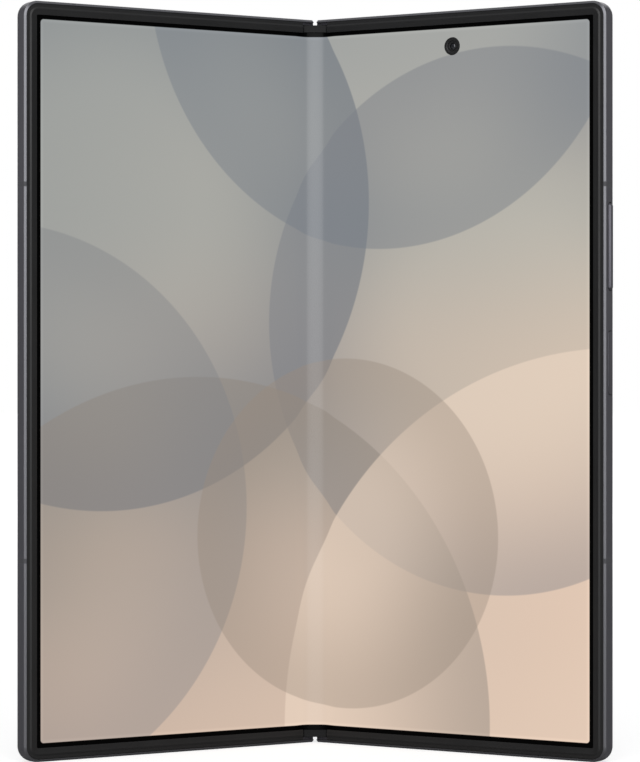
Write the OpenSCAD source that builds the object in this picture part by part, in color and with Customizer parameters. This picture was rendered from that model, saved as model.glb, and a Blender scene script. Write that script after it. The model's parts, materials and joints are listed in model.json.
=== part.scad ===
// Book-style folding phone, standing on its bottom edge like an opened book.
// Each half is modelled flat: x runs from the fold line to its outer edge, y from the inner
// screen (0) to the back (half_t), z upwards. It is then turned about its own hinge axis.

/* [Overall] */
// Height of the phone, standing on its bottom edge
phone_h = 158.4; // [150:0.1:175]
// Width of one half, from the fold line to its outer edge
half_w = 71.6; // [70.5:0.1:80]
// Thickness of one half
half_t = 4.2; // [4.2:0.1:5.2]
// Radius of the outer corners
corner_r = 3.2; // [3:0.1:8]
// Turn of each half away from flat, as the phone stands
rest_fold = 32.2; // [20:0.1:50]

/* [Hinge] */
// Distance from the fold line to the axis that a half turns about
pivot_x = 1.25; // [1.2:0.01:1.3]
// Gap between the fold line and a half's front face when the phone is closed
closed_gap = 0.25; // [0.2:0.01:0.3]
// Length of display that bends, on each side of the fold line
fold_len = 5.5; // [5.3:0.1:5.7]
// Wall of the spine cover
cover_wall = 0.5; // [0.4:0.05:0.6]
// Skin of a half that slides over the spine cover
skin_t = 0.6; // [0.5:0.05:0.65]
// Gap between the fold line and the edge of a half's skin, when flat
skin_start = 0.15; // [0.1:0.05:0.4]
// Gap between the fold line and a half's end walls, when flat
wall_start = 0.5; // [0.4:0.05:0.7]
// Half width of the caps at the ends of the spine
cap_half_w = 2.6; // [2.2:0.1:2.7]
// Height of a cap
cap_h = 1.55; // [1.2:0.05:1.55]
// Height of a hinge bracket
bracket_h = 14; // [12.5:0.5:20]
// Distance from each end of the phone to the middle of a hinge bracket
bracket_inset = 26; // [18:0.5:34]
// Width of the lever that carries a half
lever_w = 4; // [3:0.1:4.4]
// Inner radius of the sliding arc on a lever
arc_r = 0.95; // [0.9:0.01:1]
// Thickness of the sliding arc on a lever
arc_t = 0.35; // [0.3:0.01:0.4]
// Reach of a support wing from its pin
wing_reach = 3.25; // [3:0.05:3.3]
// Thickness of a support wing
wing_t = 0.2; // [0.15:0.01:0.25]
// Turn of a support wing for each degree that its half turns
wing_ratio = 0.2444; // [0.23:0.001:0.26]
// Radius of a wing's hinge pin
wing_pin_r = 0.18; // [0.15:0.01:0.2]

/* [Hinge gears] */
// Tooth size: pitch diameter divided by the number of teeth
tooth_module = 0.15; // [0.14:0.001:0.155]
// Teeth on each middle gear
mid_teeth = 10; // [10:1:10]
// Teeth on each gear of the timing arms
arm_teeth = 8; // [8:1:8]
// Distance from the fold line to the shaft of a timing arm
arm_x = 2.05; // [2:0.01:2.1]
// Depth of the shaft of a timing arm behind the front face
arm_y = 1.45; // [1.42:0.01:1.48]
// Width of the gear teeth
gear_w = 2.2; // [1.5:0.1:2.4]
// Width of a timing arm's lever
arm_w = 4.2; // [3:0.1:4.4]
// Number of friction discs on each timing shaft
disc_count = 8; // [4:1:8]

/* [Frame] */
// Width of the metal rim seen from the front
rim_w = 0.55; // [0.5:0.05:0.7]
// Thickness of the frame's outer wall
wall_t = 1.1; // [1.1:0.05:1.15]
// Width of the chamfer along the front edges
edge_w = 0.45; // [0.3:0.05:0.5]
// Depth of the chamfer along the front edges
front_edge = 0.3; // [0.2:0.05:1]
// Width of the rounding along the back edges
back_w = 0.8; // [0.5:0.05:0.8]
// Depth of the rounding along the back edges
back_edge = 1.6; // [0.7:0.05:1.6]
// Thickness of the middle plate
plate_t = 0.45; // [0.4:0.05:0.5]
// Thickness of the back glass and of the cover glass
glass_t = 0.65; // [0.6:0.05:0.7]
// Width of the plastic antenna breaks
break_w = 1; // [0.6:0.1:1.6]
// Height of the lower antenna break in an outer wall
break_low = 41.9; // [30:0.1:50]
// Distance from the top edge to the upper antenna break in an outer wall
break_drop = 38.2; // [30:0.1:40]
// Distance from the outer edge to the antenna break in an end wall
break_edge = 11.6; // [9.5:0.1:13]

/* [Inner screen] */
// Depth of the screen below the frame's front face
screen_sink = 0.1; // [0.08:0.01:0.15]
// Thickness of the folding display
display_t = 0.4; // [0.35:0.01:0.42]
// Thickness of the steel plate behind the display
backplate_t = 0.15; // [0.1:0.01:0.18]
// Distance from the outer edge to the inner edge of the bezel
bezel_reach = 2.9; // [2.6:0.05:3.3]
// Distance from the fold line to the ends of the bezel
bezel_start = 3.5; // [3.4:0.1:4]
// Height of the raised lip of the bezel above the frame
lip_h = 0.15; // [0.1:0.01:0.2]
// Distance from the fold line to the selfie camera
selfie_x = 34.9; // [28:0.1:42]
// Distance from the top edge to the selfie camera
selfie_drop = 7.6; // [6.9:0.1:9.4]
// Diameter of the selfie camera's hole
selfie_d = 3.7; // [3.2:0.1:4]

/* [Keys] */
// Distance from the top edge to the middle of the volume key
volume_drop = 51.15; // [49.5:0.05:52.5]
// Length of the volume key
volume_len = 18.3; // [14:0.1:19]
// Distance from the top edge to the middle of the side key
side_key_drop = 75.35; // [74:0.05:77.5]
// Length of the side key
side_key_len = 13.3; // [11:0.1:14]
// Width of both keys
key_w = 1.8; // [1.5:0.05:1.9]
// How far the volume key stands proud of the frame
volume_proud = 0.3; // [0.3:0.05:0.7]
// How far the side key stands proud of the frame
side_key_proud = 0.05; // [0.05:0.05:0.2]
// Depth of the keys' slots behind the screen side, to their middle
key_y = 2.2; // [2.2:0.05:2.45]
// Diameter of the pin on which the volume key rocks
key_pin_d = 0.5; // [0.4:0.05:0.6]

/* [Cameras] */
// Distance from the outer edge to the camera island
island_side = 3; // [2.5:0.1:4]
// Distance from the top edge to the camera island
island_top = 2.7; // [2.5:0.1:5]
// Width of the camera island
island_w = 20.6; // [19:0.1:21]
// Height of the camera island
island_len = 54; // [50:0.5:55]
// How far the island stands proud of the back
island_proud = 1.5; // [1:0.1:2]
// Distance between the cameras
camera_pitch = 16.8; // [16:0.1:17]
// Diameter of a camera's lens window
lens_d = 11.6; // [10:0.1:12]
// Width of the metal ring round a lens
ring_w = 1.5; // [1:0.1:1.7]
// How far a ring stands proud of the island
ring_proud = 0.9; // [0.6:0.1:1.2]
// Distance from the middle of the camera island to the flash
flash_side = 13.8; // [13.4:0.1:16]
// Diameter of the flash window
flash_d = 4.4; // [3.5:0.1:5]

/* [Socket and tray] */
// Distance from the fold line to the middle of the charging socket
socket_x = 36; // [33:0.5:40]
// Width of the charging socket's mouth
socket_w = 8.4; // [8:0.1:9]
// Height of the charging socket's mouth
socket_h = 2.5; // [2.3:0.05:2.5]
// Depth of the charging socket
socket_depth = 6.6; // [6:0.1:7.5]
// Distance from the outer edge to the middle of the card tray
tray_edge = 23.6; // [21.5:0.1:26]
// Length of the card tray's cap
tray_cap_w = 13.4; // [12.5:0.1:14]
// Thickness of the card tray's cap
tray_cap_t = 1.5; // [1.3:0.05:1.6]
// Depth of the card tray
tray_depth = 16; // [13:0.5:18]

/* [Inside] */
// Distance from the outer edge to the rear battery
rear_battery_side = 23.6; // [22:0.1:30]
// Height of the bottom of the rear battery
rear_battery_low = 12; // [10:0.5:20]
// Distance from the top edge to the rear battery
rear_battery_drop = 58.4; // [56:0.1:70]
// Outer diameter of the charging coil
coil_d = 34; // [28:0.5:34]
// Distance from the outer edge to the main board
board_side = 25.6; // [25:0.1:30]
// Distance from the top edge to the lower edge of the main board
board_drop = 54.4; // [50:0.1:55]
// Thickness of the circuit boards
board_t = 0.6; // [0.4:0.05:0.7]
// Diameter of the board screws
board_screw_d = 0.8; // [0.6:0.1:1]
// Diameter of the hinge screws
hinge_screw_d = 0.7; // [0.5:0.1:0.8]
// Width of the loudspeaker
speaker_w = 16; // [12:0.5:18]
// Height of the loudspeaker
speaker_len = 20; // [14:0.5:24]
// Distance from the outer edge to the loudspeaker
speaker_side = 5.6; // [5.5:0.1:8]
// Length of the vibration motor
motor_len = 12; // [8:0.5:14]
// Width of the vibration motor
motor_w = 9; // [7:0.5:12]
// Distance from the outer edge to the front battery
front_battery_side = 9.6; // [8:0.1:14]
// Height of the bottom of the front battery
front_battery_low = 30; // [20:0.5:40]
// Distance from the top edge to the front battery
front_battery_drop = 32.4; // [32:0.1:45]
// Distance from the outer edge to the front board
front_board_side = 33.6; // [32:0.1:40]
// Height of the front board
front_board_len = 16; // [12:0.5:17]
// Distance from the fold line to the microphone holes and the earpiece
mic_x = 27; // [24:0.5:30]
// Length of a holding magnet
magnet_len = 12; // [8:0.5:14]

/* [Clearances] */
// Running clearance of the shafts and pins
shaft_gap = 0.04; // [0.02:0.01:0.06]
// Gap round the keys and the card tray
key_gap = 0.12; // [0.1:0.01:0.15]
// Gap between pieces that lie in a recess
seat_gap = 0.05; // [0.03:0.01:0.08]

/* [Hidden] */
$fn = 48;
arc_steps = 8;
pivot_y = pivot_x - closed_gap;
// Levels through the thickness of a half, from the screen to the back
display_y = screen_sink;
backplate_y = display_y + display_t;
plate_y = backplate_y + backplate_t;
cavity_y = plate_y + plate_t;
glass_y = half_t - glass_t;
skin_y = half_t - skin_t;
// The spine cover turns close under the skins
cover_r = skin_y - pivot_y - seat_gap;
cover_in = cover_r - cover_wall;
cover_edge = 15;
cover_end = wall_t + 0.1;
cover_len = phone_h - 2 * cover_end;
// The channel in a half that clears the spine and carries the hinge arms
channel_x = pivot_x + cover_r + 0.3;
channel_out = channel_x + 2.9;
channel_wall = 0.7;
floor_y = 2.35;
floor_t = 0.35;
panel_x = channel_x + 0.8;
foot_x0 = channel_x + 0.5;
foot_x1 = channel_out - 0.1;
// Wing pins
pin_x = pivot_x + 5.1;
wing_top = backplate_y + 0.02;
barrel_r = wing_pin_r + 0.1;
pin_y = wing_top + 0.08 + barrel_r;
wing_end = bezel_reach + 0.4;
// Hinge bracket positions and gear box
bracket_z = [bracket_inset, phone_h - bracket_inset];
lever_side = 3.2;
slider_extra = 0.4;
gearbox_z = phone_h / 2;
mid_r = tooth_module * mid_teeth / 2;
gear_reach = tooth_module * (mid_teeth + arm_teeth) / 2;
mid_x = mid_r + 0.01;
mid_y = arm_y + sqrt(pow(gear_reach, 2) - pow(arm_x - mid_x, 2));
mesh_angle = atan2(arm_y - mid_y, arm_x - mid_x);
gear_z = gearbox_z - 7.4;
arm_z = gear_z + gear_w + 0.2;
cheek_z = [gear_z - 1.6, arm_z + arm_w + 0.2, arm_z + arm_w + 7.8];
cheek_t = 1.4;
shaft_r = 0.24;
hub_r = 0.4;
disc_pitch = 0.75;
// Standing place: the middle of the footprint is the origin
front_most = pivot_y - (half_w - edge_w - pivot_x) * sin(rest_fold) - pivot_y * cos(rest_fold);
back_most = pivot_y + (pivot_x - skin_start) * sin(rest_fold) + (half_t - pivot_y) * cos(rest_fold);
stand_y = -(front_most + back_most) / 2;
// Places that follow the outer edges
break_z = [break_low, phone_h - break_drop];
break_x = half_w - break_edge;
selfie_z = phone_h - selfie_drop;
volume_z = phone_h - volume_drop;
side_key_z = phone_h - side_key_drop;
island_x = half_w - island_side - island_w / 2;
island_z = phone_h - island_top - island_len / 2;
flash_x = island_x - flash_side;
tray_x = half_w - tray_edge;
// Rooms inside a half
room_x = channel_out + 0.9;
room_out = half_w - wall_t;
battery_t = glass_y - cavity_y - 0.45;
panel_y = glass_y - 0.5;
socket_y = (plate_y + glass_y) / 2;
socket_wall = 0.17;
flange_in = wall_t + 0.3;
flange_t = 0.35;
pin_in = 0.55;
key_pin_reach = 0.25;
tray_y = (plate_y + glass_y) / 2;
tray_t = 1;
reader_wall = 0.2;
magnet_z = [18, 52];
magnet_w = 3;
speaker_x = half_w - speaker_side - speaker_w;
board_y = cavity_y + 0.6;
board_low = phone_h - board_drop;
board_high = selfie_z - 3;
board_bolt_inset = 2;
front_board_low = phone_h - front_battery_drop + 4;

// ---- helpers ----

function arc(c, r, a0, a1) =
    [for (i = [0:arc_steps]) let (a = a0 + (a1 - a0) * i / arc_steps) c + r * [cos(a), sin(a)]];

// Quarter ellipse from one edge point to another, bulging away from the middle
function edge_arc(c, rx, ry, a0, a1) =
    [for (i = [0:arc_steps]) let (a = a0 + (a1 - a0) * i / arc_steps)
        c + [rx * cos(a), ry * sin(a)]];

// Radius of an outer corner, set in from the edges by d
function inner_r(d) = max(0.05, corner_r - d);

// Outline of a half in x and z, set in from its edges by d
function half_outline(x0, d) = let (r = inner_r(d), far = d + r) concat(
    [[x0, d]],
    arc([half_w - far, far], r, -90, 0),
    arc([half_w - far, phone_h - far], r, 0, 90),
    [[x0, phone_h - d]]
);

// Smooth share of a half's turn that the display has taken at x
function fold_share(x) = let (t = min(1, max(0, x / fold_len))) t * t * (3 - 2 * t);

// A point of the bending display at rest
function folded(x, y) = let (a = rest_fold * fold_share(x)) [
    pivot_x + (x - pivot_x) * cos(a) + (y - pivot_y) * sin(a),
    pivot_y - (x - pivot_x) * sin(a) + (y - pivot_y) * cos(a)
];

// Turns a flat drawing in x and y about a hinge axis
module turned(x, y, angle) {
    translate([x, y, 0]) rotate([0, 0, -angle]) translate([-x, -y, 0]) children();
}

module on_spine() {
    translate([0, stand_y, 0]) children();
}

module on_rear() {
    on_spine() turned(pivot_x, pivot_y, rest_fold) children();
}

module on_front() {
    mirror([1, 0, 0]) on_rear() children();
}

module block(x0, x1, y0, y1, z0, z1) {
    translate([x0, y0, z0]) cube([x1 - x0, y1 - y0, z1 - z0]);
}

// Flat sheet of a half between two depths, set in from the edges by d
module sheet(x0, d, y0, y1) {
    translate([0, y1, 0]) rotate([90, 0, 0]) linear_extrude(y1 - y0)
        polygon(half_outline(x0, d));
}

// Cylinder along y between two depths
module peg(x, z, r, y0, y1) {
    translate([x, y1, z]) rotate([90, 0, 0]) cylinder(h = y1 - y0, r = r);
}

module tube(x, z, r_out, r_in, y0, y1) {
    difference() {
        peg(x, z, r_out, y0, y1);
        peg(x, z, r_in, y0 - 1, y1 + 1);
    }
}

// Bar with round ends: w wide, t thick, h high, standing on z = 0
module pill(w, t, h) {
    linear_extrude(h) {
        square([w - t, t], center = true);
        for (s = [-1, 1]) translate([s * (w - t) / 2, 0]) circle(d = t);
    }
}

// Sweeps a profile of [distance from edge, depth] round the three outer edges of a half
module edge_sweep(profile, x0) {
    straight = [for (p = profile) [p[1], p[0]]];
    turn = [for (p = profile) [inner_r(p[0]), p[1]]];
    for (top = [0, 1]) translate([0, 0, top * phone_h]) mirror([0, 0, top]) {
        translate([x0, 0, 0]) rotate([90, 0, 90])
            linear_extrude(half_w - corner_r - x0) polygon(straight);
        translate([half_w - corner_r, 0, corner_r]) rotate([-90, 0, 0])
            rotate_extrude(angle = 90) polygon(turn);
    }
    translate([half_w, 0, corner_r]) mirror([1, 0, 0])
        linear_extrude(phone_h - 2 * corner_r) polygon(profile);
}

// ---- frames ----

// Profile of the outer wall in [distance from edge, depth]
function wall_profile() = concat(
    [[0, front_edge], [edge_w, 0], [rim_w, 0], [rim_w, plate_y], [wall_t, plate_y],
     [wall_t, glass_y], [back_w + 0.1, glass_y], [back_w + 0.1, half_t]],
    edge_arc([back_w, half_t - back_edge], back_w, back_edge, 90, 180)
);

// Channel beside the fold, in x and y: skin, wall, floor and riser
module channel_profile() {
    polygon([
        [skin_start, skin_y], [channel_x, skin_y], [channel_x, floor_y],
        [channel_out, floor_y], [channel_out, plate_y], [channel_out + 0.8, plate_y],
        [channel_out + 0.8, floor_y + floor_t], [channel_x + channel_wall, floor_y + floor_t],
        [channel_x + channel_wall, glass_y - 0.4], [panel_x + 0.5, glass_y - 0.4],
        [panel_x + 0.5, glass_y], [panel_x - seat_gap, glass_y],
        [panel_x - seat_gap, half_t], [skin_start + 0.3, half_t],
        [skin_start, half_t - 0.3]
    ]);
}

module frame_shell() {
    wall_in = wall_t - 0.05;
    edge_sweep(wall_profile(), wall_start);
    sheet(channel_out + 0.4, wall_in, plate_y, cavity_y);
    translate([0, 0, wall_in]) linear_extrude(phone_h - 2 * wall_in)
        difference() {
            channel_profile();
            translate([-1, skin_y - 0.02]) square([channel_x - 0.2, 1]);
        }
    skin_end = back_w + 0.05;
    block(skin_start, panel_x - seat_gap, skin_y, half_t, skin_end, phone_h - skin_end);
}

// Rounds the frame's corners next to the fold and bevels its front edge there
module fold_corner_cuts() {
    r = 0.55;
    for (top = [0, 1]) translate([0, 0, top * phone_h]) mirror([0, 0, top]) {
        difference() {
            block(-1, wall_start + r, -1, half_t + 1, -1, r);
            peg(wall_start + r, r, r, -2, half_t + 2);
        }
        translate([wall_start, 0, -1]) rotate([0, 0, 45])
            translate([-0.5, -0.283, 0]) cube([1, 0.566, wall_t + 1.5]);
    }
}

module break_cuts(gap) {
    depth = rim_w - 0.05 + gap;
    for (z = break_z) block(half_w - depth, half_w + 1, -1, half_t + 1,
        z - break_w / 2 - gap, z + break_w / 2 + gap);
    for (z = [-1, phone_h - depth]) block(break_x - break_w / 2 - gap, break_x + break_w / 2 + gap,
        -1, half_t + 1, z, z + depth + 1);
}

module antenna_breaks() {
    intersection() {
        edge_sweep(wall_profile(), wall_start);
        break_cuts(0);
    }
}

module rear_antenna_breaks() {
    color("#2e2e31") on_rear() antenna_breaks();
}

module front_antenna_breaks() {
    color("#2e2e31") on_front() antenna_breaks();
}

module edge_slot(z, len, gap) {
    translate([half_w + 1, key_y, z]) rotate([0, -90, 0])
        pill(len + 2 * gap, key_w + 2 * gap, 3);
}

module rear_frame() {
    color("#4b4b52") on_rear() difference() {
        frame_shell();
        fold_corner_cuts();
        break_cuts(0);
        edge_slot(volume_z, volume_len, key_gap);
        edge_slot(side_key_z, side_key_len, key_gap);
        key_pin_hole(key_pin_d / 2, key_pin_reach);
        // selfie camera and charging socket
        peg(selfie_x, selfie_z, selfie_d / 2 + 0.6, 0, cavity_y + 1);
        translate([socket_x, socket_y, -1]) pill(socket_w, socket_h, 3);
        block(socket_x - socket_w / 2 - 0.5, socket_x + socket_w / 2 + 0.5, plate_y - 0.1,
            cavity_y + 0.1, wall_t, socket_depth + 1.6);
        // loudspeaker and microphone holes
        for (i = [0:5]) translate([speaker_x + 2 + 1.9 * i, socket_y, -1])
            cylinder(h = 3, r = 0.5);
        for (z = [-1, phone_h - 2]) translate([mic_x, socket_y, z]) cylinder(h = 3, r = 0.35);
        frame_screw_holes();
    }
}

module front_frame() {
    color("#4b4b52") on_front() difference() {
        frame_shell();
        fold_corner_cuts();
        break_cuts(0);
        translate([tray_x, tray_y, phone_h - 2])
            pill(tray_cap_w + 2 * key_gap, tray_cap_t + 2 * key_gap, 3);
        // earpiece slot and microphone hole
        translate([mic_x, tray_y, phone_h - 2]) pill(7, 0.8, 3);
        translate([mic_x, tray_y, -1]) cylinder(h = 3, r = 0.35);
        frame_screw_holes();
    }
}

module glass_sheet(y0, bevel) {
    inset = back_w + 0.1 + seat_gap;
    sheet(panel_x, inset, y0, half_t - bevel);
    sheet(panel_x + bevel / 2, inset + bevel / 2, y0, half_t);
}

module rear_glass() {
    color("#26272b") on_rear() difference() {
        glass_sheet(glass_y, 0.12);
        translate([island_x, glass_y - 1, island_z]) rotate([-90, 0, 0]) rotate([0, 0, 90])
            pill(island_len + 2 * seat_gap, island_w + 2 * seat_gap, 3);
        peg(flash_x, island_z + camera_pitch, flash_d / 2 + seat_gap, glass_y - 1, half_t + 1);
    }
}

module cover_glass() {
    color("#101114") on_front() glass_sheet(glass_y, 0.12);
}

module cover_display() {
    color("#07080a") on_front() difference() {
        sheet(panel_x + 1.2, wall_t + 0.1, panel_y, glass_y);
        peg(selfie_x, selfie_z, 1.8, panel_y - 1, glass_y + 1);
    }
}

module cover_camera() {
    color("#0b0b0d") on_front() peg(selfie_x, selfie_z, 2.6, cavity_y, panel_y);
}

// ---- inner screen ----

// Bezel profile of [distance from edge, depth], with its raised lip
function bezel_profile() = [
    [rim_w + 0.08, plate_y], [rim_w + 0.08, 0], [rim_w + 0.45, lip_h / 3],
    [rim_w + 1.05, -lip_h], [rim_w + 1.45, -lip_h / 2], [bezel_reach, 0],
    [bezel_reach, display_y], [rim_w + 0.35, display_y], [rim_w + 0.35, plate_y]
];

module bezel() {
    color("#232326") edge_sweep(bezel_profile(), bezel_start);
}

module rear_bezel() {
    on_rear() bezel();
}

module front_bezel() {
    on_front() bezel();
}

module display_panel() {
    sheet(fold_len, rim_w + 0.4, display_y, backplate_y);
}

module rear_display() {
    color("#b9ab9e") on_rear() difference() {
        display_panel();
        peg(selfie_x, selfie_z, selfie_d / 2, display_y - 1, backplate_y + 1);
    }
}

module front_display() {
    color("#b0a79c") on_front() display_panel();
}

module backplate() {
    sheet(channel_out, rim_w + 0.45, backplate_y, plate_y);
}

module rear_display_backplate() {
    color("#8b8d90") on_rear() difference() {
        backplate();
        peg(selfie_x, selfie_z, selfie_d / 2 + 0.3, backplate_y - 1, plate_y + 1);
    }
}

module front_display_backplate() {
    color("#8b8d90") on_front() backplate();
}

// The bending strip of the display, from one half to the other
module display_fold() {
    steps = 14;
    xs = [for (i = [0:steps]) fold_len * i / steps];
    front_r = [for (x = xs) folded(x, display_y)];
    back_r = [for (i = [steps:-1:0]) folded(xs[i], backplate_y)];
    front_l = [for (i = [steps:-1:1]) [-front_r[i][0], front_r[i][1]]];
    back_l = [for (i = [1:steps]) let (p = folded(xs[i], backplate_y)) [-p[0], p[1]]];
    strip_end = bezel_reach - 0.1;
    color("#b3a99f") on_spine() translate([0, 0, strip_end])
        linear_extrude(phone_h - 2 * strip_end)
            polygon(concat(front_l, front_r, back_r, back_l));
}

module selfie_camera() {
    color("#0a0a0c") on_rear() tube(selfie_x, selfie_z, selfie_d / 2 + 0.5, selfie_d / 2 - 0.6,
        plate_y, panel_y);
}

module selfie_lens() {
    color("#050507") on_rear() peg(selfie_x, selfie_z, selfie_d / 2 - seat_gap,
        display_y, plate_y);
}

// ---- cameras ----

function camera_z(i) = island_z + (i - 1) * camera_pitch;

module camera_island() {
    color("#34353a") on_rear() difference() {
        translate([island_x, glass_y, island_z]) rotate([-90, 0, 0]) rotate([0, 0, 90])
            pill(island_len, island_w, glass_t + island_proud);
        for (i = [0:2]) peg(island_x, camera_z(i), lens_d / 2 + seat_gap,
            glass_y - 1, half_t + island_proud + 1);
    }
}

module camera_rings() {
    color("#5a5a60") on_rear() for (i = [0:2]) tube(island_x, camera_z(i), lens_d / 2 + ring_w,
        lens_d / 2 + seat_gap, half_t + island_proud, half_t + island_proud + ring_proud);
}

module camera_lenses() {
    color("#0c0d12") on_rear() for (i = [0:2]) peg(island_x, camera_z(i), lens_d / 2,
        half_t + island_proud - 0.4, half_t + island_proud + ring_proud - 0.15);
}

module camera_modules() {
    base_t = 1.4;
    color("#1b1c1f") on_rear() for (i = [0:2]) {
        side = camera_pitch - 2;
        block(island_x - side / 2, island_x + side / 2, cavity_y, cavity_y + base_t,
            camera_z(i) - side / 2, camera_z(i) + side / 2);
        peg(island_x, camera_z(i), lens_d / 2 - 0.4, cavity_y + base_t - 0.1,
            half_t + island_proud - 0.45);
    }
}

module flash_window() {
    color("#efe6c8") on_rear() peg(flash_x, island_z + camera_pitch, flash_d / 2,
        glass_y, half_t);
}

// ---- inside the halves ----

module rear_battery() {
    color("#2c2c2e") on_rear() block(room_x + 1, half_w - rear_battery_side, cavity_y,
        cavity_y + battery_t, rear_battery_low, phone_h - rear_battery_drop);
}

module charging_coil() {
    color("#b5763c") on_rear() tube((room_x + 1 + half_w - rear_battery_side) / 2,
        (rear_battery_low + phone_h - rear_battery_drop) / 2, coil_d / 2, coil_d / 4,
        cavity_y + battery_t, cavity_y + battery_t + 0.15);
}

function board_bolts() = [
    for (x = [room_x + 1 + board_bolt_inset, half_w - board_side - board_bolt_inset],
         z = [board_low + board_bolt_inset, board_high - board_bolt_inset]) [x, z]
];

module main_board() {
    color("#1f4a36") on_rear() difference() {
        union() {
            block(room_x + 1, half_w - board_side, board_y, board_y + board_t,
                board_low, board_high);
            for (p = board_bolts()) peg(p[0], p[1], 1.2, cavity_y, board_y);
        }
        for (p = board_bolts())
            peg(p[0], p[1], board_screw_d / 2 + shaft_gap, 0, half_t);
    }
}

module board_screws() {
    color("#9a9ca0") on_rear() for (p = board_bolts()) {
        peg(p[0], p[1], board_screw_d / 2, plate_y, board_y + board_t);
        peg(p[0], p[1], board_screw_d / 2 + 0.5, board_y + board_t, board_y + board_t + 0.4);
    }
}

module frame_screw_holes() {
    for (p = board_bolts())
        peg(p[0], p[1], board_screw_d / 2 + shaft_gap, plate_y - 1, cavity_y + 1);
    for (p = lever_bolts())
        peg(p[0], p[1], hinge_screw_d / 2 + shaft_gap, floor_y - 1, floor_y + 1);
}

module shield_cans() {
    first = room_x + 1 + 2 * board_bolt_inset + 1;
    last = half_w - board_side - 2 * board_bolt_inset - 1;
    can_w = (last - first - 2) / 2;
    color("#a9abad") on_rear() for (x = [first, last - can_w])
        block(x, x + can_w, board_y + board_t, glass_y - 0.3, board_low + 6, board_high - 8);
}

module usb_socket() {
    color("#8e9094") on_rear() translate([socket_x, socket_y, wall_t]) difference() {
        pill(socket_w + 2 * socket_wall, socket_h + 2 * socket_wall, socket_depth);
        translate([0, 0, -1]) pill(socket_w, socket_h, socket_depth);
    }
}

module usb_tongue() {
    color("#141416") on_rear() block(socket_x - 3.1, socket_x + 3.1, socket_y - 0.35,
        socket_y + 0.35, wall_t + 0.9, wall_t + socket_depth - 1);
}

module loudspeaker() {
    low = wall_t + 1;
    color("#2a2a2c") on_rear() block(speaker_x, speaker_x + speaker_w, cavity_y,
        glass_y - 0.3, low, low + speaker_len);
}

module vibration_motor() {
    low = wall_t + speaker_len + 7;
    color("#77797d") on_rear() block(speaker_x + 1, speaker_x + 1 + motor_w, cavity_y,
        glass_y - 0.4, low, low + motor_len);
}

module key_switches() {
    depth = flange_in + flange_t + 0.3;
    color("#1d1d1f") on_rear() {
        for (z = [volume_z - volume_len / 3, volume_z + volume_len / 3, side_key_z])
            block(half_w - depth - 1.2, half_w - depth, cavity_y, key_y + 0.6, z - 1.6, z + 1.6);
    }
}

module magnets() {
    color("#c2c4c6") for (z = magnet_z) block(room_out - 1 - magnet_w, room_out - 1, cavity_y,
        panel_y - 0.2, z, z + magnet_len);
}

module rear_magnets() {
    on_rear() magnets();
}

module front_magnets() {
    on_front() magnets();
}

module front_battery() {
    color("#2c2c2e") on_front() block(room_x + 4, half_w - front_battery_side, cavity_y,
        panel_y - 0.2, front_battery_low, phone_h - front_battery_drop);
}

module front_board() {
    x0 = room_x + 3;
    x1 = half_w - front_board_side;
    foot = 2;
    color("#1f4a36") on_front() {
        block(x0, x1, cavity_y + 0.4, cavity_y + 0.4 + board_t, front_board_low,
            front_board_low + front_board_len);
        for (x = [x0 + 1, x1 - 1 - foot], z = [1, front_board_len - 1 - foot])
            block(x, x + foot, cavity_y, cavity_y + 0.4, front_board_low + z,
                front_board_low + z + foot);
    }
}

module earpiece_speaker() {
    color("#2a2a2c") on_front() block(mic_x - 5.5, min(mic_x + 5.5, selfie_x - 3), cavity_y,
        panel_y - 0.3, phone_h - 8, phone_h - wall_t - 0.3);
}

module card_reader() {
    half_in = (tray_cap_w - 2.4) / 2 + key_gap;
    top = phone_h - wall_t - 0.3;
    low = phone_h - tray_depth - 2;
    y0 = tray_y - tray_t / 2 - key_gap;
    y1 = tray_y + tray_t / 2 + key_gap;
    color("#9da0a3") on_front() difference() {
        block(tray_x - half_in - reader_wall, tray_x + half_in + reader_wall,
            cavity_y, y1 + reader_wall, low, top);
        block(tray_x - half_in, tray_x + half_in, y0, y1, low + 0.6, top + 1);
    }
}

// ---- keys and tray ----

module edge_key(z, len, proud) {
    travel_room = flange_in;
    translate([half_w + proud, key_y, z]) rotate([0, -90, 0])
        pill(len, key_w, travel_room + flange_t + proud);
    translate([half_w - travel_room, key_y, z]) rotate([0, -90, 0])
        pill(len + 1.4, key_w, flange_t);
}

module key_pin_hole(r, reach) {
    peg(half_w - pin_in, volume_z, r, key_y - key_w / 2 - reach, key_y + key_w / 2 + reach);
}

module volume_key() {
    color("#3f3f46") on_rear() difference() {
        edge_key(volume_z, volume_len, volume_proud);
        key_pin_hole(key_pin_d / 2 + shaft_gap, 1);
    }
}

// Pin on which the volume key rocks; its ends sit in the frame
module volume_key_pin() {
    color("#9a9ca0") on_rear() key_pin_hole(key_pin_d / 2, key_pin_reach);
}

module side_key() {
    color("#3f3f46") on_rear() edge_key(side_key_z, side_key_len, side_key_proud);
}

module card_tray() {
    color("#4b4b52") on_front() {
        translate([tray_x, tray_y, phone_h - wall_t]) pill(tray_cap_w, tray_cap_t, wall_t);
        half = (tray_cap_w - 2.4) / 2;
        difference() {
            block(tray_x - half, tray_x + half, tray_y - tray_t / 2, tray_y + tray_t / 2,
                phone_h - tray_depth, phone_h - wall_t + 0.1);
            block(tray_x - half + 1, tray_x + half - 1, tray_y, tray_y + tray_t,
                phone_h - tray_depth + 1, phone_h - wall_t - 1);
        }
    }
}

// ---- hinge: levers, wings, timing arms ----

// Heights of the levers of a half: side is 1 for the rear half and -1 for the front half
function lever_z(side) = [for (z = bracket_z) z - side * lever_side];
function lever_bolts() = [for (side = [1, -1], z = lever_z(side)) [foot_x0 + 0.5, z]];

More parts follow.
